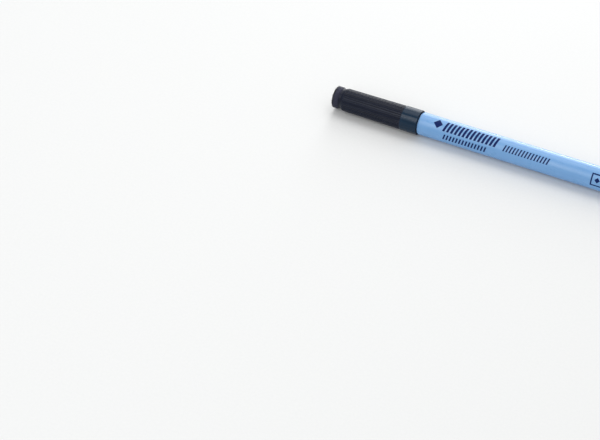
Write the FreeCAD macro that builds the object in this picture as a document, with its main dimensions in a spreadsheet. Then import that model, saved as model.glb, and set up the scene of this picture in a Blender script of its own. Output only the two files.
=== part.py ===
"""Fine-tip marker pen with a ribbed push-on cap, a felt wiper in the cap's end and a sprung pocket clip.

The pen lies along X on the surface Z = 0, with the cap at -X and the tail at +X. The origin is the
middle of its footprint. Each sub-part is drawn about its own X axis, with stations measured along the
pen from the closed end of the cap, and is then placed. The cap's pieces are drawn with the clip on top
and rolled until it rests on the surface.
"""

import FreeCAD, Part
import math
import os
import Sketcher
from FreeCAD import Placement, Rotation, Vector

# Driving dimensions, in millimetres or counts. A station is a distance from the closed end of the cap.
DIMENSIONS = {
    # whole pen
    "overall_length": 141.0,
    "fit_gap": 0.05,  # radial play of sliding and turning fits
    "glue_gap": 0.02,  # radial play of pieces that are pressed or glued together
    # barrel tube
    "barrel_start": 41.15,
    "barrel_end": 139.0,
    "barrel_dia": 10.1,
    "barrel_bore": 7.9,
    "barrel_edge": 0.3,
    "shoulder_length": 0.35,  # the step that the cap's mouth stops at
    "shoulder_dia": 9.3,
    "web_start": 49.0,
    "web_end": 131.5,
    "web_thickness": 0.6,
    "web_count": 4,
    "web_root": 0.3,  # how far a web reaches into the wall that carries it
    # tail plug
    "plug_depth": 7.0,
    "plug_hollow_dia": 5.6,
    "plug_end_wall": 3.0,
    "plug_head_dia": 9.3,
    "plug_head_round": 0.9,
    "plug_lead": 0.5,
    # ink reservoir and its film wrap
    "reservoir_start": 31.4,
    "reservoir_end": 131.6,
    "reservoir_dia": 6.54,
    "wrap_inner_dia": 6.62,
    "wrap_outer_dia": 6.88,
    "wrap_setback": 0.4,
    # front section that carries the nib and the cap
    "section_nose": 14.6,
    "section_nose_dia": 3.5,
    "land_start": 22.7,
    "land_end": 27.7,
    "land_dia": 6.5,
    "neck_start": 29.4,
    "neck_dia": 8.8,
    "snap_start": 33.5,
    "snap_width": 0.6,
    "snap_ramp": 0.5,
    "snap_height": 0.15,
    "section_plug_end": 48.0,
    "section_bore": 7.0,
    "nib_chamber_start": 24.0,
    "nib_chamber_dia": 4.0,
    "nib_chamber_end": 31.2,
    "groove_width": 0.8,  # glue grooves in the part that is pressed into the barrel
    "groove_depth": 0.2,
    "groove_first": 42.6,
    "groove_pitch": 2.2,
    # nib and its metal sleeve
    "nib_tip": 12.5,
    "nib_tip_dia": 0.44,
    "nib_tip_taper": 0.5,
    "nib_point_dia": 1.0,
    "nib_shoulder": 14.5,
    "nib_rod_dia": 1.4,
    "nib_tail": 38.0,
    "nib_tail_taper": 0.6,
    "sleeve_tip": 13.5,
    "sleeve_tip_dia": 1.9,
    "sleeve_crimp": 0.9,
    "sleeve_dia": 2.5,
    "sleeve_end": 23.8,
    # cap shell
    "cap_length": 41.0,
    "wiper_length": 3.1,
    "wiper_dia": 9.7,
    "wiper_round": 0.8,
    "wiper_back_round": 0.7,
    "post_dia": 4.0,
    "post_length": 1.6,
    "waist_length": 0.9,
    "waist_dia": 9.1,
    "cap_top_dia": 10.2,
    "cap_low_dia": 10.7,
    "cap_top_ramp": 1.3,  # the cone from the waist up to the ribs
    "collar_length": 8.0,
    "collar_dia": 11.0,
    "collar_ramp": 0.35,
    "mouth_round": 0.35,
    "mouth_bore": 9.2,
    "mouth_bore_end": 28.4,
    "mouth_lead": 0.25,
    "cap_bore": 8.3,
    "cap_end_wall": 1.8,
    "rib_count": 36,
    "rib_groove_width": 0.6,
    "rib_depth": 0.2,
    "rib_overrun": 0.3,
    # liner that seals the nib inside the cap
    "liner_end": 27.9,
    "liner_end_wall": 0.8,
    "liner_bore": 6.8,
    "seal_setback": 0.6,
    "seal_width": 0.7,
    "seal_ramp": 0.5,
    # pocket clip, drawn above the cap
    "clip_width": 4.2,
    "clip_tip_width": 3.2,
    "clip_thickness": 1.1,
    "clip_height": 7.3,
    "clip_tip": 38.4,
    "clip_taper_start": 14.0,
    "clip_edge": 0.35,
    "clip_tip_round": 1.3,
    "bead_length": 2.2,
    "bead_ramp": 1.0,
    "bead_gap": 0.3,
    "boss_start": 5.9,
    "boss_slope": 1.1,
    "boss_foot": 4.5,
    "hinge_station": 10.6,
    "surface_gap": 0.05,  # between the clip's edge and the surface that the pen lies on
}

doc = FreeCAD.newDocument("marker_pen")


def dimension_sheet():
    """The spreadsheet that every size is bound to: a cell for each value, with its name as the alias."""
    sheet = doc.addObject("Spreadsheet::Sheet", "dims")
    for row, (name, value) in enumerate(DIMENSIONS.items(), start=1):
        sheet.set(f"A{row}", str(value))
        sheet.setAlias(f"A{row}", name)
    doc.recompute()
    return sheet


dims = dimension_sheet()


def value(formula):
    """What a formula in the sheet's aliases comes to, as a plain number."""
    result = dims.evalExpression(formula)
    return float(getattr(result, "Value", result))


def new_body(label):
    body = doc.addObject("PartDesign::Body", label)
    body.Label = label
    return body


def origin_feature(body, role):
    return next(f for f in body.Origin.OriginFeatures if f.Role == role)


def new_sketch(body, name, role, offset=None):
    """A sketch on one of the body's own origin planes, moved along that plane's normal by a formula."""
    sketch = body.newObject("Sketcher::SketchObject", name)
    sketch.AttachmentSupport = [(origin_feature(body, role), "")]
    sketch.MapMode = "FlatFace"
    if offset:
        sketch.setExpression("AttachmentOffset.Base.z", offset)
    return sketch


def pin_point(sketch, geometry, end, across, up, name):
    """Binds one end of a line to a pair of formulas, measured from the sketch's origin."""
    for kind, formula in (("DistanceX", across), ("DistanceY", up)):
        if formula == "0":
            axis = -2 if kind == "DistanceX" else -1
            sketch.addConstraint(Sketcher.Constraint("PointOnObject", geometry, end, axis))
            continue
        constraint = Sketcher.Constraint(kind, -1, 1, geometry, end, value(formula))
        index = sketch.addConstraint(constraint)
        sketch.renameConstraint(index, f"{name}_{kind[-1].lower()}")
        sketch.setExpression(f"Constraints.{name}_{kind[-1].lower()}", formula)


def draw_polygon(sketch, corners):
    """A closed polygon whose corners are pairs of formulas."""
    places = [Vector(value(across), value(up), 0) for across, up in corners]
    first = sketch.GeometryCount
    count = len(corners)
    for i, place in enumerate(places):
        sketch.addGeometry(Part.LineSegment(place, places[(i + 1) % count]), False)
    for i in range(count):
        joined = Sketcher.Constraint("Coincident", first + i, 2, first + (i + 1) % count, 1)
        sketch.addConstraint(joined)
    for i, (across, up) in enumerate(corners):
        pin_point(sketch, first + i, 1, across, up, f"p{first + i}")


def draw_circle(sketch, across, up, radius):
    centre = Vector(value(across), value(up), 0)
    index = sketch.addGeometry(Part.Circle(centre, Vector(0, 0, 1), value(radius)), False)
    pin_point(sketch, index, 3, across, up, f"c{index}")
    size = sketch.addConstraint(Sketcher.Constraint("Radius", index, value(radius)))
    sketch.renameConstraint(size, f"c{index}_radius")
    sketch.setExpression(f"Constraints.c{index}_radius", radius)


def revolve(body, sketch, name, cut=False):
    kind = "PartDesign::Groove" if cut else "PartDesign::Revolution"
    feature = body.newObject(kind, name)
    feature.Profile = sketch
    feature.ReferenceAxis = (sketch, ["H_Axis"])
    feature.Angle = 360
    doc.recompute()
    return feature


def turned(label, outline):
    """A body made by turning an outline of (station, radius) formulas about the pen's axis."""
    body = new_body(label)
    sketch = new_sketch(body, f"{label}_outline", "XZ_Plane")
    draw_polygon(sketch, outline)
    revolve(body, sketch, f"{label}_turned")
    return body


def extrude(body, sketch, name, length, cut=False):
    """A pad or pocket with half its length on each side of the sketch."""
    feature = body.newObject("PartDesign::Pocket" if cut else "PartDesign::Pad", name)
    feature.Profile = sketch
    feature.Midplane = True
    feature.setExpression("Length", length)
    doc.recompute()
    return feature


def pattern_about_axis(body, feature, name, count):
    pattern = body.newObject("PartDesign::PolarPattern", name)
    pattern.Originals = [feature]
    pattern.Axis = (origin_feature(body, "X_Axis"), [""])
    pattern.Angle = 360
    pattern.setExpression("Occurrences", count)
    body.Tip = pattern
    doc.recompute()
    return pattern


def rings(body, *places):
    """The names of the circular edges about the pen's axis at these (station, radius) formulas."""
    names = []
    for station, radius in places:
        at, size = value(station), value(radius)
        for i, edge in enumerate(body.Shape.Edges, start=1):
            box = edge.BoundBox
            flat = abs(box.XMin - at) < 1e-3 and abs(box.XMax - at) < 1e-3
            round_edge = isinstance(edge.Curve, Part.Circle) and abs(edge.Curve.Radius - size) < 1e-3
            if flat and round_edge:
                names.append(f"Edge{i}")
    return names


def edges_where(body, pick):
    """The names of the edges whose bounding box satisfies pick."""
    return [f"Edge{i}" for i, edge in enumerate(body.Shape.Edges, start=1) if pick(edge.BoundBox)]


def dress(body, kind, name, edges, size):
    """A fillet or a chamfer of one size on the named edges of the body's last feature."""
    feature = body.newObject(f"PartDesign::{kind}", name)
    feature.Base = (feature.BaseFeature, edges)
    feature.setExpression("Radius" if kind == "Fillet" else "Size", size)
    doc.recompute()
    return feature


def barrel_tube():
    """The light tube, open at both ends, with webs inside that centre the reservoir and let air pass."""
    outside = "dims.barrel_dia / 2"
    shoulder_end = "dims.barrel_start + dims.shoulder_length"
    body = turned("barrel_tube", [
        ("dims.barrel_start", "dims.barrel_bore / 2"),
        ("dims.barrel_start", "dims.shoulder_dia / 2"),
        (shoulder_end, "dims.shoulder_dia / 2"),
        (shoulder_end, outside),
        ("dims.barrel_end", outside),
        ("dims.barrel_end", "dims.barrel_bore / 2"),
    ])
    web = new_sketch(body, "web_outline", "XZ_Plane")
    draw_polygon(web, [
        ("dims.web_start", "dims.section_bore / 2"),
        ("dims.web_end", "dims.section_bore / 2"),
        ("dims.web_end", "dims.barrel_bore / 2 + dims.web_root"),
        ("dims.web_start", "dims.barrel_bore / 2 + dims.web_root"),
    ])
    pad = extrude(body, web, "web", "dims.web_thickness")
    pattern_about_axis(body, pad, "webs", "dims.web_count")
    ends = rings(body, (shoulder_end, outside), ("dims.barrel_end", outside))
    dress(body, "Fillet", "end_edges", ends, "dims.barrel_edge")
    return body


def tail_plug():
    """The plug that closes the tail, a hollow stem under a round-edged head."""
    stem = "dims.barrel_bore / 2 - dims.glue_gap"
    head = "dims.plug_head_dia / 2"
    hollow = "dims.plug_hollow_dia / 2"
    stem_end = "dims.barrel_end - dims.plug_depth"
    hollow_end = "dims.overall_length - dims.plug_end_wall"
    body = turned("tail_plug", [
        (stem_end, hollow),
        (stem_end, stem),
        ("dims.barrel_end", stem),
        ("dims.barrel_end", head),
        ("dims.overall_length", head),
        ("dims.overall_length", "0"),
        (hollow_end, "0"),
        (hollow_end, hollow),
    ])
    lead = rings(body, (stem_end, stem))
    dress(body, "Chamfer", "plug_lead_edge", lead, "dims.plug_lead")
    rim = rings(body, ("dims.overall_length", head))
    dress(body, "Fillet", "plug_rim", rim, "dims.plug_head_round")
    return body


def ink_reservoir():
    """The bonded fibre rod that holds the ink, with a pocket that the nib's tail is pushed into."""
    pocket = "dims.nib_rod_dia / 2 + dims.glue_gap"
    pocket_end = "dims.nib_tail + dims.fit_gap"
    return turned("ink_reservoir", [
        ("dims.reservoir_start", pocket),
        ("dims.reservoir_start", "dims.reservoir_dia / 2"),
        ("dims.reservoir_end", "dims.reservoir_dia / 2"),
        ("dims.reservoir_end", "0"),
        (pocket_end, "0"),
        (pocket_end, pocket),
    ])


def reservoir_wrap():
    """The film tube around the fibre rod, a little shorter at each end."""
    start = "dims.reservoir_start + dims.wrap_setback"
    end = "dims.reservoir_end - dims.wrap_setback"
    return turned("reservoir_wrap", [
        (start, "dims.wrap_inner_dia / 2"),
        (start, "dims.wrap_outer_dia / 2"),
        (end, "dims.wrap_outer_dia / 2"),
        (end, "dims.wrap_inner_dia / 2"),
    ])


def front_section():
    """The nose: a cone for the nib, the land that the liner seals on, the snap neck and the barrel plug."""
    neck = "dims.neck_dia / 2"
    crest = "dims.neck_dia / 2 + dims.snap_height"
    plug = "dims.barrel_bore / 2 - dims.glue_gap"
    sleeve = "dims.sleeve_dia / 2 + dims.glue_gap"
    body = turned("front_section", [
        ("dims.section_nose", sleeve),
        ("dims.section_nose", "dims.section_nose_dia / 2"),
        ("dims.land_start", "dims.land_dia / 2"),
        ("dims.land_end", "dims.land_dia / 2"),
        ("dims.neck_start", neck),
        ("dims.snap_start - dims.snap_ramp", neck),
        ("dims.snap_start", crest),
        ("dims.snap_start + dims.snap_width", crest),
        ("dims.snap_start + dims.snap_width + dims.snap_ramp", neck),
        ("dims.barrel_start", neck),
        ("dims.barrel_start", plug),
        ("dims.section_plug_end", plug),
        ("dims.section_plug_end", "dims.section_bore / 2"),
        ("dims.nib_chamber_end", "dims.section_bore / 2"),
        ("dims.nib_chamber_end", "dims.nib_chamber_dia / 2"),
        ("dims.nib_chamber_start", "dims.nib_chamber_dia / 2"),
        ("dims.nib_chamber_start", sleeve),
    ])
    groove = new_sketch(body, "glue_groove_outline", "XZ_Plane")
    for number in ("0", "1"):
        start = f"dims.groove_first + {number} * dims.groove_pitch"
        draw_polygon(groove, [
            (start, "dims.barrel_bore / 2 - dims.groove_depth"),
            (f"{start} + dims.groove_width", "dims.barrel_bore / 2 - dims.groove_depth"),
            (f"{start} + dims.groove_width", "dims.barrel_bore / 2"),
            (start, "dims.barrel_bore / 2"),
        ])
    revolve(body, groove, "glue_grooves", cut=True)
    return body


def nib_sleeve():
    """The drawn metal tube around the nib, crimped at its front."""
    crimp = "dims.nib_point_dia / 2 + dims.glue_gap"
    bore = "dims.nib_rod_dia / 2 + dims.glue_gap"
    shoulder = "dims.nib_shoulder + dims.glue_gap"
    return turned("nib_sleeve", [
        ("dims.sleeve_tip", crimp),
        ("dims.sleeve_tip", "dims.sleeve_tip_dia / 2"),
        ("dims.sleeve_tip + dims.sleeve_crimp", "dims.sleeve_dia / 2"),
        ("dims.sleeve_end", "dims.sleeve_dia / 2"),
        ("dims.sleeve_end", bore),
        (shoulder, bore),
        (shoulder, crimp),
    ])


def nib():
    """The fibre rod that writes, from its tapered tip to the tail inside the reservoir."""
    return turned("nib", [
        ("dims.nib_tip", "0"),
        ("dims.nib_tip", "dims.nib_tip_dia / 2"),
        ("dims.nib_tip + dims.nib_tip_taper", "dims.nib_point_dia / 2"),
        ("dims.nib_shoulder + 2 * dims.glue_gap", "dims.nib_point_dia / 2"),
        ("dims.nib_shoulder + 2 * dims.glue_gap", "dims.nib_rod_dia / 2"),
        ("dims.nib_tail - dims.nib_tail_taper", "dims.nib_rod_dia / 2"),
        ("dims.nib_tail", "dims.nib_point_dia / 2"),
        ("dims.nib_tail", "0"),
    ])


def cut_ribs(body):
    """V grooves along the cap, whose floor keeps its depth as the cap widens towards the collar."""
    first = "dims.wiper_length + dims.waist_length - dims.rib_overrun"
    last = "dims.cap_length - dims.collar_length"
    ends = (
        ("rib_groove_top", first, "dims.cap_top_dia / 2"),
        ("rib_groove_low", last, "dims.cap_low_dia / 2"),
    )
    sketches = []
    for name, station, radius in ends:
        sketch = new_sketch(body, name, "YZ_Plane", offset=station)
        draw_polygon(sketch, [
            ("0", f"{radius} - dims.rib_depth"),
            ("dims.rib_groove_width", f"{radius} + dims.rib_depth"),
            ("-dims.rib_groove_width", f"{radius} + dims.rib_depth"),
        ])
        sketches.append(sketch)
    groove = body.newObject("PartDesign::SubtractiveLoft", "rib_groove")
    groove.Profile = sketches[0]
    groove.Sections = [sketches[1]]
    doc.recompute()
    pattern_about_axis(body, groove, "rib_grooves", "dims.rib_count")


def add_clip_boss(body):
    """The block that the clip grows from, with a half-round seat for the clip's root."""
    top = "dims.clip_height"
    side = new_sketch(body, "boss_outline", "XZ_Plane")
    draw_polygon(side, [
        ("dims.boss_start", "dims.boss_foot"),
        ("dims.hinge_station", "dims.boss_foot"),
        ("dims.hinge_station", top),
        ("dims.boss_start + dims.boss_slope", top),
        ("dims.boss_start", f"{top} - dims.boss_slope"),
    ])
    extrude(body, side, "boss", "dims.clip_width")
    height = value(top)
    shortest = value("dims.clip_thickness")
    rim = edges_where(body, lambda box: box.ZMin > height - 1e-3 and box.XLength > shortest)
    dress(body, "Fillet", "boss_rim", rim, "dims.clip_edge")
    seat = new_sketch(body, "boss_seat_outline", "XZ_Plane")
    draw_circle(seat, "dims.hinge_station", "dims.clip_height - dims.clip_thickness / 2",
                "dims.clip_thickness / 2 + dims.fit_gap")
    extrude(body, seat, "boss_seat", "2 * dims.clip_width", cut=True)


def cap_shell():
    """The ribbed outer cap, closed at the wiper's end, with a smooth collar at its mouth."""
    collar_start = "dims.cap_length - dims.collar_length"
    waist_start = "dims.wiper_length"
    waist_end = "dims.wiper_length + dims.waist_length"
    post_tip = "dims.wiper_length - dims.post_length"
    inner_end = f"{waist_end} + dims.cap_end_wall"
    body = turned("cap_shell", [
        (post_tip, "0"),
        (post_tip, "dims.post_dia / 2"),
        (waist_start, "dims.post_dia / 2"),
        (waist_start, "dims.waist_dia / 2"),
        (waist_end, "dims.waist_dia / 2"),
        (f"{waist_end} + dims.cap_top_ramp", "dims.cap_top_dia / 2"),
        (collar_start, "dims.cap_low_dia / 2"),
        (f"{collar_start} + dims.collar_ramp", "dims.collar_dia / 2"),
        ("dims.cap_length", "dims.collar_dia / 2"),
        ("dims.cap_length", "dims.mouth_bore / 2"),
        ("dims.mouth_bore_end", "dims.mouth_bore / 2"),
        ("dims.mouth_bore_end", "dims.cap_bore / 2"),
        (inner_end, "dims.cap_bore / 2"),
        (inner_end, "0"),
    ])
    mouth = rings(body, ("dims.cap_length", "dims.collar_dia / 2"))
    dress(body, "Fillet", "mouth_edge", mouth, "dims.mouth_round")
    lead = rings(body, ("dims.cap_length", "dims.mouth_bore / 2"))
    dress(body, "Chamfer", "mouth_lead_edge", lead, "dims.mouth_lead")
    cut_ribs(body)
    add_clip_boss(body)
    return body


def cap_liner():
    """The inner cap, a cup whose lip closes on the front section's land."""
    outside = "dims.cap_bore / 2 - dims.glue_gap"
    bore = "dims.liner_bore / 2"
    lip = "dims.land_dia / 2 + dims.fit_gap"
    start = "dims.wiper_length + dims.waist_length + dims.cap_end_wall + dims.glue_gap"
    lip_end = "dims.liner_end - dims.seal_setback"
    lip_start = f"{lip_end} - dims.seal_width"
    return turned("cap_liner", [
        (start, "0"),
        (start, outside),
        ("dims.liner_end", outside),
        ("dims.liner_end", f"{lip} + dims.seal_ramp"),
        (lip_end, lip),
        (lip_start, lip),
        (f"{lip_start} - dims.seal_ramp", bore),
        (f"{start} + dims.liner_end_wall", bore),
        (f"{start} + dims.liner_end_wall", "0"),
    ])


def felt_wiper():
    """The felt block on the cap's post, which rubs out what the pen has written."""
    socket = "dims.post_dia / 2 + dims.glue_gap"
    socket_end = "dims.wiper_length - dims.post_length - dims.glue_gap"
    body = turned("felt_wiper", [
        ("0", "0"),
        ("0", "dims.wiper_dia / 2"),
        ("dims.wiper_length", "dims.wiper_dia / 2"),
        ("dims.wiper_length", socket),
        (socket_end, socket),
        (socket_end, "0"),
    ])
    rim = rings(body, ("0", "dims.wiper_dia / 2"))
    dress(body, "Fillet", "wiper_rim", rim, "dims.wiper_round")
    back = rings(body, ("dims.wiper_length", "dims.wiper_dia / 2"))
    dress(body, "Fillet", "wiper_back", back, "dims.wiper_back_round")
    return body


def trim_clip(body):
    """Narrows the clip's blade towards its tip."""
    half, tip_half = "dims.clip_width / 2", "dims.clip_tip_width / 2"
    plan = new_sketch(body, "clip_trim_outline", "XY_Plane", offset="dims.clip_height")
    for sign in ("", "-"):
        outside = f"{sign}dims.clip_width"
        draw_polygon(plan, [
            ("dims.clip_taper_start", f"{sign}{half}"),
            ("dims.clip_tip + dims.bead_ramp", f"{sign}{tip_half}"),
            ("dims.clip_tip + dims.bead_ramp", outside),
            ("dims.clip_taper_start", outside),
        ])
    extrude(body, plan, "clip_trim", "4 * dims.clip_height", cut=True)


def pocket_clip():
    """The springy blade, from its round root in the boss to the bead that grips a pocket's edge."""
    top = "dims.clip_height"
    inside = "dims.clip_height - dims.clip_thickness"
    bead = "dims.collar_dia / 2 + dims.bead_gap"
    body = new_body("pocket_clip")
    side = new_sketch(body, "clip_outline", "XZ_Plane")
    draw_polygon(side, [
        ("dims.hinge_station", inside),
        ("dims.clip_tip - dims.bead_length - dims.bead_ramp", inside),
        ("dims.clip_tip - dims.bead_length", bead),
        ("dims.clip_tip - dims.bead_ramp / 2", bead),
        ("dims.clip_tip", inside),
        ("dims.clip_tip", top),
        ("dims.hinge_station", top),
    ])
    extrude(body, side, "blade", "dims.clip_width")
    root = new_sketch(body, "clip_root_outline", "XZ_Plane")
    draw_circle(root, "dims.hinge_station", "dims.clip_height - dims.clip_thickness / 2",
                "dims.clip_thickness / 2")
    extrude(body, root, "root", "dims.clip_width")
    trim_clip(body)
    tip = value("dims.clip_tip")
    upright = edges_where(body, lambda box: box.XMin > tip - 1e-3 and box.YLength < 1e-3)
    dress(body, "Fillet", "clip_tip_corners", upright, "dims.clip_tip_round")
    height = value(top)
    shortest = value("dims.clip_thickness")
    rim = edges_where(body, lambda box: box.ZMin > height - 1e-3 and box.XLength > shortest)
    dress(body, "Fillet", "clip_rim", rim, "dims.clip_edge")
    return body


def resting_roll():
    """How far the cap turns from clip-up, in degrees, until the clip's edge meets the surface behind."""
    edge = value("dims.clip_edge")
    out = value("dims.clip_height") - edge
    half = value("dims.clip_width / 2") - edge
    drop = value("dims.collar_dia / 2 - dims.surface_gap") - edge
    from_straight_down = math.atan2(half, out) + math.acos(drop / math.hypot(out, half))
    return 180 + math.degrees(from_straight_down)


def axis_offset(roll):
    """Where the pen's axis lies in Y, so that the footprint's middle is at Y = 0."""
    edge = value("dims.clip_edge")
    turn = math.radians(roll)
    reach = value("dims.clip_height") - edge
    half = value("dims.clip_width / 2") - edge
    back = -reach * math.sin(turn) + half * abs(math.cos(turn)) + edge
    front = value("dims.collar_dia / 2")
    return (front - back) / 2


def place(bodies, roll, across):
    """Puts bodies drawn about their own X axis in the pen's frame, rolled about that axis."""
    for body in bodies:
        body.Placement = Placement(Vector(0, across, 0), Rotation(Vector(1, 0, 0), roll))
        body.setExpression("Placement.Base.x", "-dims.overall_length / 2")
        body.setExpression("Placement.Base.z", "dims.collar_dia / 2")


def check(bodies):
    """Stops if any object failed or any sub-part is not one valid closed solid."""
    for thing in doc.Objects:
        if {"Invalid", "Error"} & set(thing.State):
            raise RuntimeError(f"{thing.Name} failed: {thing.State}")
    for body in bodies:
        shape = body.Shape
        if shape.isNull() or not shape.isValid() or len(shape.Solids) != 1:
            raise RuntimeError(f"{body.Label} is not one valid solid")


def build():
    writing = [barrel_tube(), tail_plug(), ink_reservoir(), reservoir_wrap()]
    writing += [front_section(), nib_sleeve(), nib()]
    capping = [cap_shell(), cap_liner(), felt_wiper(), pocket_clip()]
    roll = resting_roll()
    across = axis_offset(roll)
    place(writing, 0, across)
    place(capping, roll, across)
    doc.recompute()
    bodies = writing + capping
    check(bodies)
    os.makedirs("parts", exist_ok=True)
    for body in bodies:
        body.Shape.exportStep(f"parts/{body.Label}.step")
        box = body.Shape.BoundBox
        print(f"{body.Label:16s} volume {body.Shape.Volume:9.2f} mm3  x {box.XMin:7.2f} {box.XMax:7.2f}"
              f"  y {box.YMin:6.2f} {box.YMax:6.2f}  z {box.ZMin:6.2f} {box.ZMax:6.2f}")
    print(f"cap rolled {roll:.3f} degrees, axis at y {across:.4f} z {value('dims.collar_dia / 2'):.3f}")


build()
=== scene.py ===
"""The looks of a capped fine-tip marker pen that lies on a pale floor.

The CAD frame gives the pen's pieces. This script gives each of them a procedural material, replaces the
plain felt block in the cap's end with a fuzzy one, and prints generic marks on the barrel. Lengths are in
metres. Names that end in _mm or _MM, the flat outlines of the print and the positions that the pen's
materials work with are in millimetres.
"""

import math
import random

import bmesh
import bpy
from mathutils import Matrix, Quaternion, Vector, noise


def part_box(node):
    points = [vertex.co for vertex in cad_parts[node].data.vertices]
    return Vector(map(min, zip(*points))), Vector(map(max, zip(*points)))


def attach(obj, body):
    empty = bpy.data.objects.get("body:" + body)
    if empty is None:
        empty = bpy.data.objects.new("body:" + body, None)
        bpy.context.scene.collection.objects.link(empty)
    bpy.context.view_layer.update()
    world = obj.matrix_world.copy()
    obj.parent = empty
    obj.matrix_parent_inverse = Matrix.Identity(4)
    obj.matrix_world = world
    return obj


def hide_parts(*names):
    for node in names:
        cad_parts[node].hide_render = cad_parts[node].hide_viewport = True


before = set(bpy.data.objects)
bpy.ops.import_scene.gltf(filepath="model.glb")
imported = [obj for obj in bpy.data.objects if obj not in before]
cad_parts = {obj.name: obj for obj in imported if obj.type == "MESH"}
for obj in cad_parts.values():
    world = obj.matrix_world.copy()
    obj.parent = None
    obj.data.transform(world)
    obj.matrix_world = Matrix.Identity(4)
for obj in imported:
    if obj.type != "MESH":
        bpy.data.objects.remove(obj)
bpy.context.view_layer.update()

MM = 0.001
SQUARE = ((-1, -1), (1, -1), (1, 1), (-1, 1))  # the corners of a square, from its middle

# The camera: where it stands as seen from the point that it looks at, in degrees and metres, and its lens.
VIEW_AZIMUTH = 27.57
VIEW_ELEVATION = 44.51
VIEW_ROLL = -1.27
VIEW_DISTANCE = 0.6829
LENS_MM = 99.97
SENSOR_MM = 36.0
AIM_FROM_CAP = Vector((-0.00043, -0.07663, 0.0))  # from the cap's middle to the point looked at

# The pen's axis, and the sizes of the pieces that are replaced or printed on.
BARREL_LOW, BARREL_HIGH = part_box("barrel_tube")
AXIS = Vector((0, (BARREL_LOW.y + BARREL_HIGH.y) / 2, (BARREL_LOW.z + BARREL_HIGH.z) / 2))
BARREL_RADIUS = (BARREL_HIGH.z - BARREL_LOW.z) / 2
FELT_LOW, FELT_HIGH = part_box("felt_wiper")
FELT_RADIUS = (FELT_HIGH.z - FELT_LOW.z) / 2
CLOSED_END_MM = FELT_LOW.x / MM

# The cap's ribs, its waist and its smooth parts, which its material tells apart by where they lie.
WAIST_CREST_RADIUS_MM = 5.1  # the ribs' crests beside the waist's cone
COLLAR_CREST_RADIUS_MM = 5.35  # the ribs' crests beside the collar
RIB_SPAN_MM = (5.3, 33.0)  # where the ribs have their full height, from the closed end
RIB_DEPTH_MM = 0.2
CREST_MM = 0.02  # what lies less than this under the crests looks like them
WAIST_SHARE = 0.35  # how matt and how darkened by painted shade the waist and its cone are, as a share of the grooves
WAIST_BLEND_MM = 0.2  # the stretch at the ribs' start where that share grows to 1
SMOOTH_RADIUS_MM = 5.43  # the collar, the clip and its boss lie further out than this, the ribs don't
SMOOTH_BLEND_MM = 0.03


# ---------------------------------------------------------------- nodes

MIX_COLOURS_IN = (6, 7)  # a mix node's sockets for its two colours
MIX_COLOUR_OUT = 2


def add(tree, kind, inputs=None, **settings):
    """A new node. An input is a plain value, or the output socket that feeds it."""
    node = tree.nodes.new(kind)
    for name, value in settings.items():
        setattr(node, name, value)
    for name, value in (inputs or {}).items():
        if isinstance(value, bpy.types.NodeSocket):
            tree.links.new(value, node.inputs[name])
        else:
            node.inputs[name].default_value = value
    return node


def new_material(name, **constants):
    """A material whose Principled shader has these constants set on its own sockets."""
    material = bpy.data.materials.new(name)
    material.use_nodes = True
    shader = material.node_tree.nodes["Principled BSDF"]
    for socket, value in constants.items():
        shader.inputs[socket.replace("_", " ")].default_value = value
    return material


def feed(material, socket, source):
    """Links a texture's output to one of the material's shader sockets."""
    tree = material.node_tree
    tree.links.new(source, tree.nodes["Principled BSDF"].inputs[socket])


def pen_position(tree):
    """A surface point's place in millimetres from the middle of the pen's axis, the same at every pose."""
    place = add(tree, "ShaderNodeTexCoord").outputs["Object"]
    moved = add(tree, "ShaderNodeVectorMath", {0: place, 1: AXIS}, operation="SUBTRACT").outputs["Vector"]
    scaled = add(tree, "ShaderNodeVectorMath", {0: moved, "Scale": 1 / MM}, operation="SCALE")
    return scaled.outputs["Vector"]


def station_and_radius(tree, position):
    """How far a surface point is from the closed end and from the pen's axis, in millimetres."""
    along = add(tree, "ShaderNodeSeparateXYZ", {"Vector": position}).outputs["X"]
    across = add(tree, "ShaderNodeVectorMath", {0: position, 1: (0, 1, 1)}, operation="MULTIPLY")
    radius = add(tree, "ShaderNodeVectorMath", {0: across.outputs["Vector"]}, operation="LENGTH")
    return combine(tree, "SUBTRACT", along, CLOSED_END_MM), radius.outputs["Value"]


def grain(tree, position, size_mm, stretch=(1, 1, 1), detail=3.0, roughness=0.55, distortion=0.0):
    """Noise with features of about size_mm, drawn out along each axis by stretch."""
    scale = tuple(1 / (size_mm * factor) for factor in stretch)
    place = add(tree, "ShaderNodeMapping", {"Vector": position, "Scale": scale}).outputs["Vector"]
    texture = add(tree, "ShaderNodeTexNoise", {
        "Vector": place, "Scale": 1.0, "Detail": detail, "Roughness": roughness, "Distortion": distortion,
    })
    return texture.outputs["Fac"]


def between(tree, value, low, high, from_low=0.3, from_high=0.7):
    """Maps a value, clamped to a range, to another range."""
    return add(tree, "ShaderNodeMapRange", {
        "Value": value, "From Min": from_low, "From Max": from_high, "To Min": low, "To Max": high,
    }).outputs["Result"]


def tint(tree, value, *stops):
    """A colour ramp of (position, (red, green, blue)) stops."""
    node = add(tree, "ShaderNodeValToRGB", {"Fac": value})
    elements = node.color_ramp.elements
    for index, (position, colour) in enumerate(stops):
        element = elements[index] if index < len(elements) else elements.new(position)
        element.position = position
        element.color = (*colour, 1.0)
    return node.outputs["Color"]


def combine(tree, operation, first, second):
    """The sum, difference or product of two values."""
    return add(tree, "ShaderNodeMath", {0: first, 1: second}, operation=operation).outputs["Value"]


def weigh(tree, first, second, share):
    """The weighted mean of two values, with this share of the first."""
    return combine(tree, "ADD", combine(tree, "MULTIPLY", first, share),
                   combine(tree, "MULTIPLY", second, 1 - share))


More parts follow.
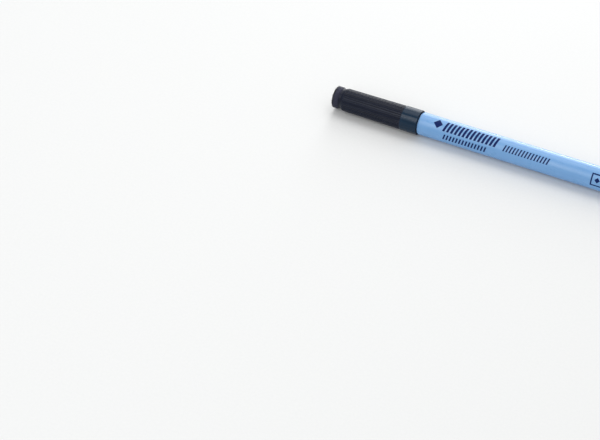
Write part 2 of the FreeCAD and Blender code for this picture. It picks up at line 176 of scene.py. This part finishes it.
def mix_colours(tree, mask, where_0, where_1):
    """One colour where the mask is 0 and another where it is 1."""
    node = add(tree, "ShaderNodeMix", {"Factor": mask}, data_type="RGBA")
    for slot, colour in zip(MIX_COLOURS_IN, (where_0, where_1)):
        if isinstance(colour, bpy.types.NodeSocket):
            tree.links.new(colour, node.inputs[slot])
        else:
            node.inputs[slot].default_value = (*colour, 1.0)
    return node.outputs[MIX_COLOUR_OUT]


def relief(tree, height, depth_mm, below=None):
    """A bump whose height of 1 stands depth_mm proud. It adds to the bump below it, if there is one."""
    inputs = {"Height": height, "Distance": depth_mm * MM, "Strength": 1.0}
    if below:
        inputs["Normal"] = below
    return add(tree, "ShaderNodeBump", inputs).outputs["Normal"]


# ---------------------------------------------------------------- materials

def barrel_material():
    """Light-blue moulded polypropylene with faint flow lines along the tube, and a little handling wear."""
    material = new_material("barrel_blue", Subsurface_Weight=0.05, Subsurface_Scale=0.001,
                            Subsurface_Radius=(0.5, 0.8, 1.2), IOR=1.49)
    tree = material.node_tree
    position = pen_position(tree)
    flow = grain(tree, position, 0.7, stretch=(60, 1, 1), detail=4)
    clouds = grain(tree, position, 9.0, stretch=(2, 1, 1), detail=2)
    feed(material, "Base Color", tint(tree, weigh(tree, flow, clouds, 0.6),
                                      (0.3, (0.155, 0.355, 0.670)),
                                      (0.5, (0.173, 0.378, 0.695)),
                                      (0.7, (0.192, 0.400, 0.720))))
    scuffs = grain(tree, position, 0.25, stretch=(9, 1, 1), detail=5, roughness=0.7)
    smears = grain(tree, position, 6.0, detail=3, distortion=0.6)
    worn = between(tree, scuffs, 0.0, 0.07, 0.45, 0.7)
    feed(material, "Roughness", combine(tree, "ADD", worn, between(tree, smears, 0.24, 0.32)))
    peel = relief(tree, grain(tree, position, 0.35, detail=2), 0.0012)
    feed(material, "Normal", relief(tree, flow, 0.002, peel))
    return material


def dark_plastic(name, smooth=0.26, rough=0.4):
    """Dark slate moulded plastic, with paler flow lines and fine scuffs that catch the light."""
    material = new_material(name, IOR=1.5, Specular_IOR_Level=0.35)
    tree = material.node_tree
    position = pen_position(tree)
    flow = grain(tree, position, 0.9, stretch=(25, 1, 1), detail=4)
    dust = grain(tree, position, 0.16, detail=5, roughness=0.75)
    feed(material, "Base Color", tint(tree, weigh(tree, flow, dust, 0.8),
                                      (0.3, (0.008, 0.010, 0.017)),
                                      (0.52, (0.012, 0.016, 0.026)),
                                      (0.75, (0.024, 0.030, 0.043))))
    scuffs = grain(tree, position, 0.22, stretch=(7, 1, 1), detail=5, roughness=0.7)
    feed(material, "Roughness", between(tree, scuffs, smooth, rough))
    peel = relief(tree, grain(tree, position, 0.3, detail=2), 0.0015)
    feed(material, "Normal", relief(tree, flow, 0.006, peel))
    return material


def cap_masks(tree, position):
    """Two masks: how far under the ribs' crests a surface point of the cap lies, which drives painted shade
    and mattness there, and whether its stretch is smooth.
    """
    station, radius = station_and_radius(tree, position)
    crest = between(tree, station, WAIST_CREST_RADIUS_MM, COLLAR_CREST_RADIUS_MM, *RIB_SPAN_MM)
    under_crest = combine(tree, "SUBTRACT", crest, radius)
    sunk = between(tree, under_crest, 0.0, 1.0, CREST_MM, RIB_DEPTH_MM)
    ribs_start = RIB_SPAN_MM[0]
    share = between(tree, station, WAIST_SHARE, 1.0, ribs_start, ribs_start + WAIST_BLEND_MM)
    groove_shade_and_matt = combine(tree, "MULTIPLY", sunk, share)
    smooth = between(tree, radius, 0.0, 1.0, SMOOTH_RADIUS_MM - SMOOTH_BLEND_MM, SMOOTH_RADIUS_MM)
    return groove_shade_and_matt, smooth


def cap_material():
    """The dark plastic of the cap: matt in its grooves and darkened there by painted shade, satin on its ribs
    and glossier where it is smooth.
    """
    material = new_material("cap_slate", IOR=1.5, Specular_IOR_Level=0.2)
    tree = material.node_tree
    position = pen_position(tree)
    groove_shade_and_matt, smooth = cap_masks(tree, position)

    flow = grain(tree, position, 1.1, stretch=(30, 1, 1), detail=3)
    dust = grain(tree, position, 0.3, stretch=(3, 1, 1), detail=4, roughness=0.7)
    mottle = weigh(tree, flow, dust, 0.75)
    ribbed = tint(tree, mottle, (0.3, (0.003, 0.006, 0.017)), (0.7, (0.008, 0.014, 0.035)))
    glossy = tint(tree, mottle, (0.3, (0.003, 0.017, 0.040)), (0.7, (0.008, 0.029, 0.060)))
    # painted shade: the grooves turn darker, down to near black, the deeper they lie
    deep = mix_colours(tree, groove_shade_and_matt, ribbed, (0.002, 0.003, 0.009))
    feed(material, "Base Color", mix_colours(tree, smooth, deep, glossy))

    scuffs = grain(tree, position, 0.22, stretch=(7, 1, 1), detail=5, roughness=0.7)
    worn = between(tree, scuffs, 0.19, 0.28)
    matt = combine(tree, "MULTIPLY", groove_shade_and_matt, 0.3)
    shine = combine(tree, "MULTIPLY", smooth, 0.04)
    feed(material, "Roughness", combine(tree, "SUBTRACT", combine(tree, "ADD", worn, matt), shine))
    peel = relief(tree, grain(tree, position, 0.3, detail=2), 0.0015)
    feed(material, "Normal", relief(tree, flow, 0.005, peel))
    return material


def liner_material():
    """Natural polypropylene, milky and a little see-through."""
    material = new_material("liner_natural", Subsurface_Weight=0.4, Subsurface_Scale=0.002,
                            Subsurface_Radius=(1.0, 0.9, 0.8), IOR=1.49)
    tree = material.node_tree
    position = pen_position(tree)
    clouds = grain(tree, position, 3.0, detail=3)
    feed(material, "Base Color", tint(tree, clouds, (0.3, (0.62, 0.64, 0.63)), (0.7, (0.74, 0.75, 0.73))))
    feed(material, "Roughness", between(tree, grain(tree, position, 0.3, detail=4), 0.38, 0.52))
    feed(material, "Normal", relief(tree, grain(tree, position, 0.25, detail=3), 0.002))
    return material


def steel_material():
    """Drawn stainless steel, with fine lines along the sleeve."""
    material = new_material("sleeve_steel", Metallic=1.0)
    tree = material.node_tree
    position = pen_position(tree)
    lines = grain(tree, position, 0.03, stretch=(60, 1, 1), detail=4, roughness=0.7)
    tarnish = grain(tree, position, 0.9, detail=3)
    feed(material, "Base Color", tint(tree, tarnish, (0.3, (0.52, 0.51, 0.49)), (0.7, (0.66, 0.65, 0.63))))
    feed(material, "Roughness", between(tree, lines, 0.2, 0.36))
    feed(material, "Normal", relief(tree, lines, 0.0015))
    return material


def fibre_material(name, dark, pale, fibre_mm, depth_mm):
    """Bonded fibres that run along a rod, soaked with ink."""
    material = new_material(name, Sheen_Weight=0.25, Sheen_Roughness=0.5)
    tree = material.node_tree
    position = pen_position(tree)
    fibres = grain(tree, position, fibre_mm, stretch=(25, 1, 1), detail=4, roughness=0.65)
    soaked = grain(tree, position, 2.0, stretch=(3, 1, 1), detail=3)
    wetness = combine(tree, "MULTIPLY", fibres, soaked)
    feed(material, "Base Color", tint(tree, wetness, (0.12, dark), (0.4, pale)))
    feed(material, "Roughness", between(tree, fibres, 0.62, 0.88))
    feed(material, "Normal", relief(tree, fibres, depth_mm))
    return material


def film_material():
    """Clear polypropylene film around the ink reservoir."""
    material = new_material("wrap_film", Transmission_Weight=0.75, IOR=1.49)
    tree = material.node_tree
    position = pen_position(tree)
    crinkle = grain(tree, position, 1.6, stretch=(4, 1, 1), detail=3)
    feed(material, "Base Color", tint(tree, crinkle, (0.3, (0.78, 0.8, 0.83)), (0.7, (0.86, 0.87, 0.88))))
    feed(material, "Roughness", between(tree, crinkle, 0.12, 0.24))
    feed(material, "Normal", relief(tree, crinkle, 0.02))
    return material


def lifted(stops, lift):
    """The stops of a colour ramp, with every colour this many times as light."""
    return [(place, tuple(lift * part for part in colour)) for place, colour in stops]


def felt_material(name, lift=1.0):
    """Dark pressed felt with fibres every way, mottled by wiped ink, with painted shade that turns it a
    darker neutral grey beside its free face.
    """
    material = new_material(name, Sheen_Weight=0.05, Sheen_Roughness=0.4, Sheen_Tint=(0.5, 0.55, 0.8, 1.0),
                            Specular_IOR_Level=0.34)
    tree = material.node_tree
    position = pen_position(tree)
    station, _ = station_and_radius(tree, position)
    fibres = grain(tree, position, 0.09, stretch=(1, 2.5, 1), detail=5, roughness=0.75, distortion=1.5)
    stains = grain(tree, position, 1.8, detail=3, distortion=0.5)
    mottle = weigh(tree, fibres, stains, 0.5)
    inky = [(0.3, (0.012, 0.013, 0.031)), (0.5, (0.023, 0.025, 0.052)), (0.72, (0.044, 0.047, 0.086))]
    # painted shade: these darker neutral stops colour the felt beside its free face
    neutral = [(0.3, (0.003, 0.004, 0.005)), (0.5, (0.009, 0.010, 0.012)), (0.72, (0.028, 0.030, 0.033))]
    side = tint(tree, mottle, *lifted(inky, lift))
    painted_shade_edge = tint(tree, mottle, *lifted(neutral, lift))
    # painted shade: a ragged band beside the free face takes the darker neutral grey
    ragged = combine(tree, "ADD", station, combine(tree, "MULTIPLY", stains, 0.8))
    feed(material, "Base Color", mix_colours(tree, between(tree, ragged, 1.0, 0.0, 0.6, 1.7), side, painted_shade_edge))
    feed(material, "Roughness", between(tree, fibres, 0.42, 0.7))
    feed(material, "Normal", relief(tree, fibres, 0.03))
    return material


def print_material():
    """Navy screen-printing ink, thin enough in places for the plastic's colour to lift it."""
    material = new_material("print_navy", IOR=1.5, Specular_IOR_Level=0.12)
    tree = material.node_tree
    position = pen_position(tree)
    cover = grain(tree, position, 0.18, detail=4, roughness=0.7)
    feed(material, "Base Color", tint(tree, cover,
                                      (0.35, (0.002, 0.011, 0.085)),
                                      (0.6, (0.003, 0.018, 0.115)),
                                      (0.78, (0.010, 0.042, 0.20))))
    feed(material, "Roughness", between(tree, cover, 0.4, 0.55))
    feed(material, "Normal", relief(tree, cover, 0.003))
    return material


def floor_material():
    """Matt white board with a barely visible tooth."""
    material = new_material("floor_white", Specular_IOR_Level=0.25)
    tree = material.node_tree
    place = add(tree, "ShaderNodeTexCoord").outputs["Object"]
    tooth = add(tree, "ShaderNodeTexNoise", {"Vector": place, "Scale": 900.0, "Detail": 3.0}).outputs["Fac"]
    feed(material, "Base Color", tint(tree, tooth,
                                      (0.3, (0.795, 0.803, 0.801)),
                                      (0.7, (0.812, 0.819, 0.817))))
    feed(material, "Roughness", between(tree, tooth, 0.55, 0.7))
    return material


# ---------------------------------------------------------------- meshes

CREASE = math.radians(40)  # an edge that bends more than this stays sharp


def finished(shape, name):
    """Turns a bmesh into a mesh whose faces all point outwards."""
    bmesh.ops.recalc_face_normals(shape, faces=shape.faces)
    mesh = bpy.data.meshes.new(name)
    shape.to_mesh(mesh)
    shape.free()
    return mesh


def new_piece(name, mesh, material, body):
    """A shown piece that rides on a body and takes the material that it is given."""
    piece = bpy.data.objects.new(name, mesh)
    bpy.context.scene.collection.objects.link(piece)
    mesh.materials.append(material)
    mesh.shade_smooth()
    mesh.set_sharp_from_angle(angle=CREASE)
    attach(piece, body)
    return piece


# ---------------------------------------------------------------- print on the barrel

# A flat mark is drawn with (along, around) points: millimetres from the pen's middle towards its tail, and
# millimetres from the barrel's top towards its front.
INK_PROUD_MM = 0.014
INK_SUNK_MM = 0.03
STRIP_MM = 0.35  # the flat marks are sliced into strips this wide before they are bent round the barrel
WELD_MM = 0.001  # corners that lie nearer than this to each other are joined
FRAME_MIDDLE = (52.4, 5.3)  # of the square frame near the tail


def bent_round_barrel(point_mm):
    """Where a point (along, around, proud) of the flat print lies on the barrel."""
    along, around, proud = point_mm
    angle = around * MM / BARREL_RADIUS
    radius = BARREL_RADIUS + proud * MM
    return AXIS + Vector((along * MM, -radius * math.sin(angle), radius * math.cos(angle)))


def printed_mesh(name, outlines):
    """Flat marks with these outlines, thickened and bent round the barrel."""
    flat = bmesh.new()
    for outline in outlines:
        face = flat.faces.new([flat.verts.new((along, around, INK_PROUD_MM)) for along, around in outline])
        face.normal_update()
        if face.normal.z < 0:
            face.normal_flip()
    bmesh.ops.remove_doubles(flat, verts=flat.verts, dist=WELD_MM)
    thickened = bmesh.ops.extrude_face_region(flat, geom=flat.faces[:], use_keep_orig=True)
    for item in thickened["geom"]:
        if isinstance(item, bmesh.types.BMVert):
            item.co.z = -INK_SUNK_MM
    low = min(vert.co.y for vert in flat.verts)
    high = max(vert.co.y for vert in flat.verts)
    for step in range(1, math.ceil((high - low) / STRIP_MM)):
        cut = Vector((0, low + step * STRIP_MM, 0))
        everything = flat.verts[:] + flat.edges[:] + flat.faces[:]
        bmesh.ops.bisect_plane(flat, geom=everything, plane_co=cut, plane_no=(0, 1, 0))
    for vert in flat.verts:
        vert.co = bent_round_barrel(vert.co)
    return finished(flat, name)


def slanted_bar(along, around, width, height, slant=0.25):
    """The outline of an upright bar whose upper end leans towards the tail, from its middle."""
    lean = slant * height / 2
    return [
        (along - width / 2 + lean, around - height / 2),
        (along + width / 2 + lean, around - height / 2),
        (along + width / 2 - lean, around + height / 2),
        (along - width / 2 - lean, around + height / 2),
    ]


def bar_row(start, end, around, height, count, cover):
    """A row of equal slanted bars between two places along the barrel, covering a share of its length."""
    pitch = (end - start) / count
    return [slanted_bar(start + (i + 0.5) * pitch, around, cover * pitch, height) for i in range(count)]


def diamond(along, around, half):
    """The outline of a square that stands on its corner, from its middle."""
    return [(along - half, around), (along, around - half), (along + half, around), (along, around + half)]


def square_frame(along, around, half, line):
    """The four mitred bars of a square frame, from its middle."""
    outer = [(along + x * half, around + y * half) for x, y in SQUARE]
    inner = [(along + x * (half - line), around + y * (half - line)) for x, y in SQUARE]
    return [[outer[i], outer[(i + 1) % 4], inner[(i + 1) % 4], inner[i]] for i in range(4)]


def print_marks():
    """Generic marks in place of the barrel's print: a diamond, three rows of bars and a framed diamond."""
    marks = {
        "print_diamond": [diamond(along=-20.4, around=2.1, half=2.1)],
        "print_bold_row": bar_row(start=-17.6, end=7.4, around=2.35, height=4.6, count=14, cover=0.6),
        "print_second_row": bar_row(start=-17.2, end=3.1, around=7.15, height=2.5, count=14, cover=0.5),
        "print_light_row": bar_row(start=10.0, end=30.9, around=3.8, height=2.9, count=15, cover=0.46),
        "print_frame": square_frame(*FRAME_MIDDLE, half=2.8, line=0.6) + [diamond(*FRAME_MIDDLE, half=1.2)],
    }
    ink = print_material()
    for name, outlines in marks.items():
        new_piece(name, printed_mesh(name, outlines), ink, "barrel")


# ---------------------------------------------------------------- felt block

FELT_RIM = 0.8 * MM  # how far its free edge is rounded
FELT_BACK_DEPTH = 0.45 * MM  # how far the edge beside the cap's waist is pressed in
FELT_BACK_LENGTH = 1.1 * MM  # and over what length
FELT_GRID = 0.11 * MM  # the spacing of its vertices, fine enough for its dents
FELT_AROUND = round(math.tau * FELT_RADIUS / FELT_GRID)  # how many of them go round it
FELT_ARC_STEPS = 8  # in each of its two rounded edges
FELT_BACK_BANDS = 6  # between the edge and the middle of the hidden face
FELT_HIDDEN = 0.05 * MM  # what lies nearer than this to the hidden face isn't roughened
FELT_NOISE = ((0.07, 0.9), (0.06, 2.2), (0.04, 4.4))  # (height in mm, waves per mm): lumps, dents, fibres
FELT_SUNK_MM = 0.01  # how much lower the roughened surface lies on average


def quarter_turn():
    """The sine and cosine at each step of a quarter turn, without its start."""
    angles = [math.pi / 2 * i / FELT_ARC_STEPS for i in range(1, FELT_ARC_STEPS + 1)]
    return [(math.sin(angle), math.cos(angle)) for angle in angles]


def felt_profile():
    """Stations and radii in metres, from near the free face's middle to near the hidden face's middle."""
    start, end, radius = FELT_LOW.x, FELT_HIGH.x, FELT_RADIUS
    flat = radius - FELT_RIM
    rings = round(flat / FELT_GRID)
    points = [(start, flat * i / rings) for i in range(1, rings + 1)]
    for sine, cosine in quarter_turn():
        points.append((start + FELT_RIM * (1 - cosine), radius - FELT_RIM * (1 - sine)))
    length = end - start - FELT_RIM - FELT_BACK_LENGTH
    rings = round(length / FELT_GRID)
    points += [(start + FELT_RIM + length * i / rings, radius) for i in range(1, rings + 1)]
    for sine, cosine in quarter_turn():
        points.append((end - FELT_BACK_LENGTH * (1 - sine), radius - FELT_BACK_DEPTH * (1 - cosine)))
    back = radius - FELT_BACK_DEPTH
    points += [(end, back * (1 - i / FELT_BACK_BANDS)) for i in range(1, FELT_BACK_BANDS)]
    return points


def felt_unevenness(place):
    """How far pressed felt stands out at a place, in metres."""
    height_mm = sum(height * noise.noise(place / MM * waves) for height, waves in FELT_NOISE)
    return (height_mm - FELT_SUNK_MM) * MM


def point_around(station, radius, angle):
    """A point at this distance from the pen's axis."""
    return Vector((station, AXIS.y, AXIS.z)) + radius * Vector((0, math.cos(angle), math.sin(angle)))


def felt_mesh(name):
    """The felt block, turned from its profile and roughened where it shows."""
    shape = bmesh.new()
    angles = [math.tau * i / FELT_AROUND for i in range(FELT_AROUND)]
    rings = [[shape.verts.new(point_around(station, radius, angle)) for angle in angles]
             for station, radius in felt_profile()]
    ends = [shape.verts.new((station, AXIS.y, AXIS.z)) for station in (FELT_LOW.x, FELT_HIGH.x)]
    for i in range(FELT_AROUND):
        j = (i + 1) % FELT_AROUND
        shape.faces.new((ends[0], rings[0][i], rings[0][j]))
        for inner, outer in zip(rings, rings[1:]):
            shape.faces.new((inner[i], outer[i], outer[j], inner[j]))
        shape.faces.new((rings[-1][i], ends[1], rings[-1][j]))
    bmesh.ops.recalc_face_normals(shape, faces=shape.faces)
    shape.normal_update()
    showing = [vert for vert in shape.verts if vert.co.x < FELT_HIGH.x - FELT_HIDDEN]
    moves = [vert.normal * felt_unevenness(vert.co) for vert in showing]
    for vert, move in zip(showing, moves):
        vert.co += move
    return finished(shape, name)


# ---------------------------------------------------------------- loose fibres on the felt

FUZZ_COUNT = 2600
FUZZ_SEED = 11
FUZZ_ON_FACE = 0.4  # the share of the fibres that grow on the free face, while the others grow on the side
FUZZ_FACE_REACH = 0.92  # how far out they grow on the free face, as a share of the felt's radius
FUZZ_FREE_MARGIN = 0.4 * MM  # the bare stretch of the side beside the free face
FUZZ_HIDDEN_MARGIN = 0.15 * MM  # the bare stretch of the side beside the hidden face

FIBRE_LENGTH_MM = (0.3, 0.95)
FIBRE_LIFT_MM = (0.03, 0.16)
FIBRE_RADIUS_MM = (0.008, 0.016)
FIBRE_ROOT_MM = 0.04  # how deep it starts under the surface
FIBRE_CURL = 0.35  # the most that its end bends sideways, as a share of its length
FIBRE_ARC = 0.6  # how much of half a wave it follows as it lifts
FIBRE_TAPER = 0.6  # how much thinner its end is, as a share of its radius
FIBRE_STEPS = 4
FIBRE_SIDES = 3


def fibre_root(draw):
    """A random place on the felt's free face or side, and the way that the surface faces there."""
    angle = draw.uniform(0, math.tau)
    out = Vector((0, math.cos(angle), math.sin(angle)))
    if draw.random() < FUZZ_ON_FACE:
        face_middle = Vector((FELT_LOW.x, AXIS.y, AXIS.z))
        reach = out * FUZZ_FACE_REACH * FELT_RADIUS
        return face_middle + reach * math.sqrt(draw.random()), Vector((-1, 0, 0))
    station = draw.uniform(FELT_LOW.x + FUZZ_FREE_MARGIN, FELT_HIGH.x - FUZZ_HIDDEN_MARGIN)
    return Vector((station, AXIS.y, AXIS.z)) + out * FELT_RADIUS, out


def fibre_points(draw):
    """A random fibre that starts under the felt's surface, lies along it and lifts off it at its end."""
    root, normal = fibre_root(draw)
    way = Matrix.Rotation(draw.uniform(0, math.tau), 3, normal) @ normal.orthogonal().normalized()
    length = draw.uniform(*FIBRE_LENGTH_MM) * MM
    lift = draw.uniform(*FIBRE_LIFT_MM) * MM
    curl = normal.cross(way) * draw.uniform(-FIBRE_CURL, FIBRE_CURL) * length
    points = []
    for step in range(FIBRE_STEPS + 1):
        part = step / FIBRE_STEPS
        raised = lift * math.sin(part * math.pi * FIBRE_ARC) - FIBRE_ROOT_MM * MM
        points.append(root + way * length * part + curl * part * part + normal * raised)
    return points


def add_fibre(shape, points, radius):
    """A thin fibre along these points, closed at both ends."""
    rings = []
    last = len(points) - 1
    angles = [math.tau * i / FIBRE_SIDES for i in range(FIBRE_SIDES)]
    for i, point in enumerate(points):
        ahead = (points[min(i + 1, last)] - points[max(i - 1, 0)]).normalized()
        side = ahead.orthogonal().normalized()
        other = ahead.cross(side)
        size = radius * (1 - FIBRE_TAPER * i / last)
        rings.append([
            shape.verts.new(point + size * (math.cos(angle) * side + math.sin(angle) * other))
            for angle in angles
        ])
    for near, far in zip(rings, rings[1:]):
        for i in range(FIBRE_SIDES):
            j = (i + 1) % FIBRE_SIDES
            shape.faces.new((near[i], near[j], far[j], far[i]))
    shape.faces.new(rings[0][::-1])
    shape.faces.new(rings[-1])


def fuzz_mesh(name):
    """The loose fibres on the felt's free face and side."""
    draw = random.Random(FUZZ_SEED)
    shape = bmesh.new()
    for _ in range(FUZZ_COUNT):
        points = fibre_points(draw)
        add_fibre(shape, points, draw.uniform(*FIBRE_RADIUS_MM) * MM)
    return finished(shape, name)


def felt_wiper():
    """The felt in the cap's end, with its fuzz."""
    block_name, fuzz_name = "wiper_felt_block", "wiper_felt_fuzz"
    block = new_piece(block_name, felt_mesh(block_name), felt_material("felt_dark"), "cap")
    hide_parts("felt_wiper")
    new_piece(fuzz_name, fuzz_mesh(fuzz_name), felt_material("felt_fuzz", lift=1.2), "cap")


# ---------------------------------------------------------------- CAD nodes

def reservoir_material():
    """The coarse fibres of the ink reservoir."""
    return fibre_material("reservoir_fibre", dark=(0.01, 0.012, 0.02), pale=(0.06, 0.065, 0.09),
                          fibre_mm=0.12, depth_mm=0.02)


def nib_material():
    """The fine, ink-black fibres of the nib."""
    return fibre_material("nib_fibre", dark=(0.006, 0.006, 0.01), pale=(0.04, 0.04, 0.055),
                          fibre_mm=0.05, depth_mm=0.008)


def dress_nodes():
    """Gives each CAD node its material."""
    cap = cap_material()
    finishes = {
        "barrel_tube": barrel_material(),
        "tail_plug": dark_plastic("tail_slate"),
        "ink_reservoir": reservoir_material(),
        "reservoir_wrap": film_material(),
        "front_section": dark_plastic("section_black", smooth=0.3, rough=0.42),
        "nib_sleeve": steel_material(),
        "nib": nib_material(),
        "cap_shell": cap,
        "cap_liner": liner_material(),
        "felt_wiper": felt_material("felt_plain"),
        "pocket_clip": cap,
    }
    for name, material in finishes.items():
        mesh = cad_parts[name].data
        mesh.materials.clear()
        mesh.materials.append(material)


# ---------------------------------------------------------------- stage

FLOOR_HALF = 6.0
ROOM_BRIGHTNESS = 0.58


def toward(azimuth, elevation):
    """A way out from the pen, with its azimuth in degrees from the front (-Y) towards the tail (+X)."""
    azimuth, elevation = math.radians(azimuth), math.radians(elevation)
    return Vector((
        math.sin(azimuth) * math.cos(elevation),
        -math.cos(azimuth) * math.cos(elevation),
        math.sin(elevation),
    ))


def softbox(name, azimuth, elevation, distance, size, brightness, turn=0.0):
    """A rectangular light that faces the pen. Its brightness is the same whatever its size."""
    lamp = bpy.data.lights.new(name, "AREA")
    lamp.shape = "RECTANGLE"
    lamp.size, lamp.size_y = size
    lamp.energy = brightness * math.pi * size[0] * size[1]
    holder = bpy.data.objects.new(name, lamp)
    bpy.context.scene.collection.objects.link(holder)
    away = toward(azimuth, elevation)
    holder.location = away * distance
    holder.rotation_mode = "QUATERNION"
    facing = (-away).to_track_quat("-Z", "Y")
    holder.rotation_quaternion = facing @ Quaternion((0, 0, 1), math.radians(turn))
    holder.visible_camera = False


def lay_floor():
    """A wide pale floor."""
    floor_mesh = bpy.data.meshes.new("floor")
    floor_mesh.from_pydata([(x * FLOOR_HALF, y * FLOOR_HALF, 0) for x, y in SQUARE], [], [(0, 1, 2, 3)])
    floor_mesh.materials.append(floor_material())
    floor = bpy.data.objects.new("floor", floor_mesh)
    bpy.context.scene.collection.objects.link(floor)


def brighten_room():
    """Plain white light from all round."""
    world = bpy.data.worlds.new("room")
    bpy.context.scene.world = world
    world.use_nodes = True
    background = world.node_tree.nodes["Background"]
    background.inputs["Color"].default_value = (1.0, 1.0, 1.0, 1.0)
    background.inputs["Strength"].default_value = ROOM_BRIGHTNESS


def set_stage():
    """A floor in a bright room, with two softboxes behind the pen, one above it and one at the front left."""
    bpy.context.scene.view_settings.view_transform = "Standard"
    lay_floor()
    brighten_room()
    softbox("back_strip", azimuth=196, elevation=21, distance=1.3, size=(0.5, 1.05), brightness=3.5)
    softbox("back_low", azimuth=186, elevation=8, distance=1.35, size=(0.4, 0.38), brightness=4.5)
    softbox("overhead", azimuth=196, elevation=67, distance=1.1, size=(1.1, 0.7), brightness=2.0)
    softbox("front_fill", azimuth=-21, elevation=46, distance=1.0, size=(0.22, 0.75), brightness=4.5, turn=30)


def set_camera():
    """The camera looks at a point in front of the cap, which leaves the pen's tail outside the picture."""
    cap_low, cap_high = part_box("cap_shell")
    aim = Vector(((cap_low.x + cap_high.x) / 2, AXIS.y, AXIS.z)) + AIM_FROM_CAP
    back = toward(VIEW_AZIMUTH, VIEW_ELEVATION)
    camera = bpy.data.objects.new("camera", bpy.data.cameras.new("camera"))
    bpy.context.scene.collection.objects.link(camera)
    camera.data.lens = LENS_MM
    camera.data.sensor_width = SENSOR_MM
    camera.data.clip_start = 0.01
    camera.data.clip_end = 50.0
    roll = Matrix.Rotation(math.radians(VIEW_ROLL), 3, "Z")
    turn = (-back).to_track_quat("-Z", "Y").to_matrix() @ roll
    camera.matrix_world = Matrix.Translation(aim + back * VIEW_DISTANCE) @ turn.to_4x4()
    bpy.context.scene.camera = camera


set_camera()
dress_nodes()
felt_wiper()
print_marks()
set_stage()
